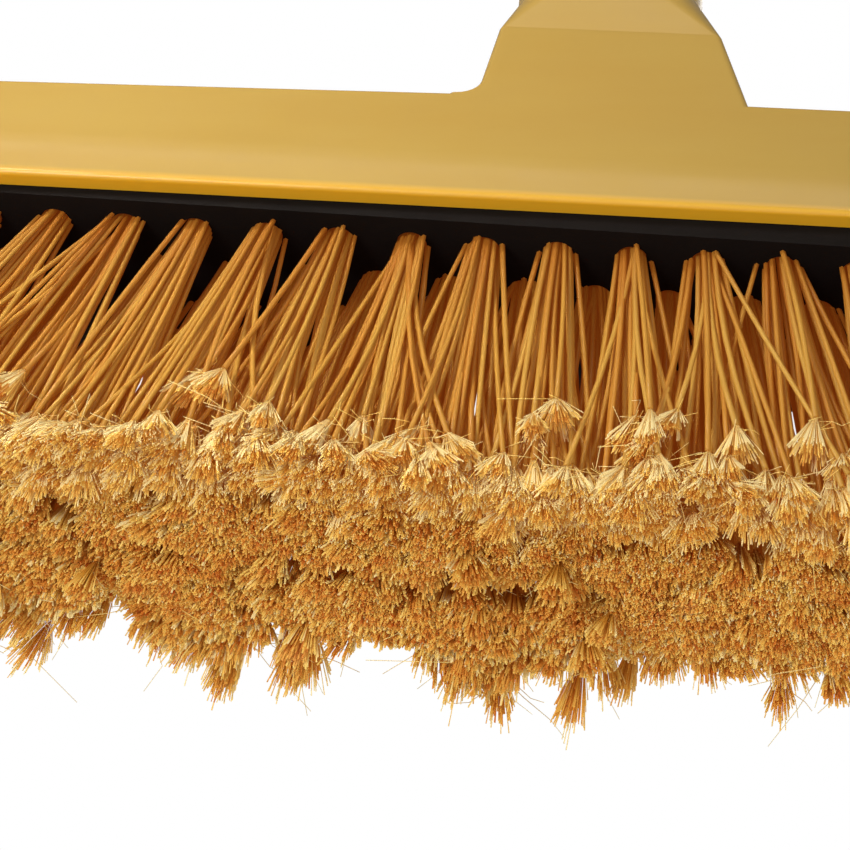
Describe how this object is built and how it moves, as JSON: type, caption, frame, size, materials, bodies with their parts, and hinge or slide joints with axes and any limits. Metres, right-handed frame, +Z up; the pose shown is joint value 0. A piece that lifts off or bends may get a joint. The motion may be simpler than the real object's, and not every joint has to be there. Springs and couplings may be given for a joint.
{
  "type": "angle broom",
  "caption": "Angle broom: a capped head with staggered rows of fanned, flagged bristle tufts cut on a slant, and a long sleeved steel handle whose threaded tip screws into its neck.",
  "frame": {"origin": "on the handle's axis, at the level of the lowest bristle tips", "axes": "+Z up the handle, +X along the head towards its long, low side, -Y towards the front that the picture shows"},
  "size_m": [0.2704, 0.0472, 1.2494],
  "materials": {
    "cap_plastic": "satin gloss moulded yellow",
    "block_plastic": "moulded black",
    "bristle_plastic": "drawn filament, flagged tips",
    "staple_steel": "flat wire",
    "screw_steel": "zinc plated",
    "sleeve_plastic": "thin glossy yellow sleeve",
    "tube_steel": "drawn tube",
    "tip_plastic": "moulded black",
    "pin_steel": "plain",
    "hang_plastic": "moulded black"
  },
  "bodies": {
    "head": {"head_cap": "cap_plastic", "tuft_block": "block_plastic", "bristles_front_short_side": "bristle_plastic", "bristles_front_long_side": "bristle_plastic", "bristles_second_short_side": "bristle_plastic", "bristles_second_long_side": "bristle_plastic", "bristles_third_short_side": "bristle_plastic", "bristles_third_long_side": "bristle_plastic", "bristles_back_short_side": "bristle_plastic", "bristles_back_long_side": "bristle_plastic", "staples_front_row": "staple_steel", "staples_second_row": "staple_steel", "staples_third_row": "staple_steel", "staples_back_row": "staple_steel", "block_screw_1": "screw_steel", "block_screw_2": "screw_steel", "block_screw_3": "screw_steel", "block_screw_4": "screw_steel"},
    "sleeve": {"handle_sleeve": "sleeve_plastic"},
    "handle": {"handle_tube": "tube_steel", "threaded_tip": "tip_plastic", "tip_pin": "pin_steel", "hang_cap": "hang_plastic"}
  },
  "joints": [
    {"name": "handle_rise", "type": "slide", "parent": "head", "child": "sleeve", "axis": [0, 0, 1], "range_m": [0, 0.03302]},
    {"name": "handle_turn", "type": "hinge", "parent": "sleeve", "child": "handle", "pos_m": [0, 0, 0.15], "axis": [0, 0, 1], "range_deg": [0, 2341]}
  ],
  "couplings": [
    {"joint": "handle_turn", "follows": "handle_rise", "rad_per_m": 1236.8}
  ]
}
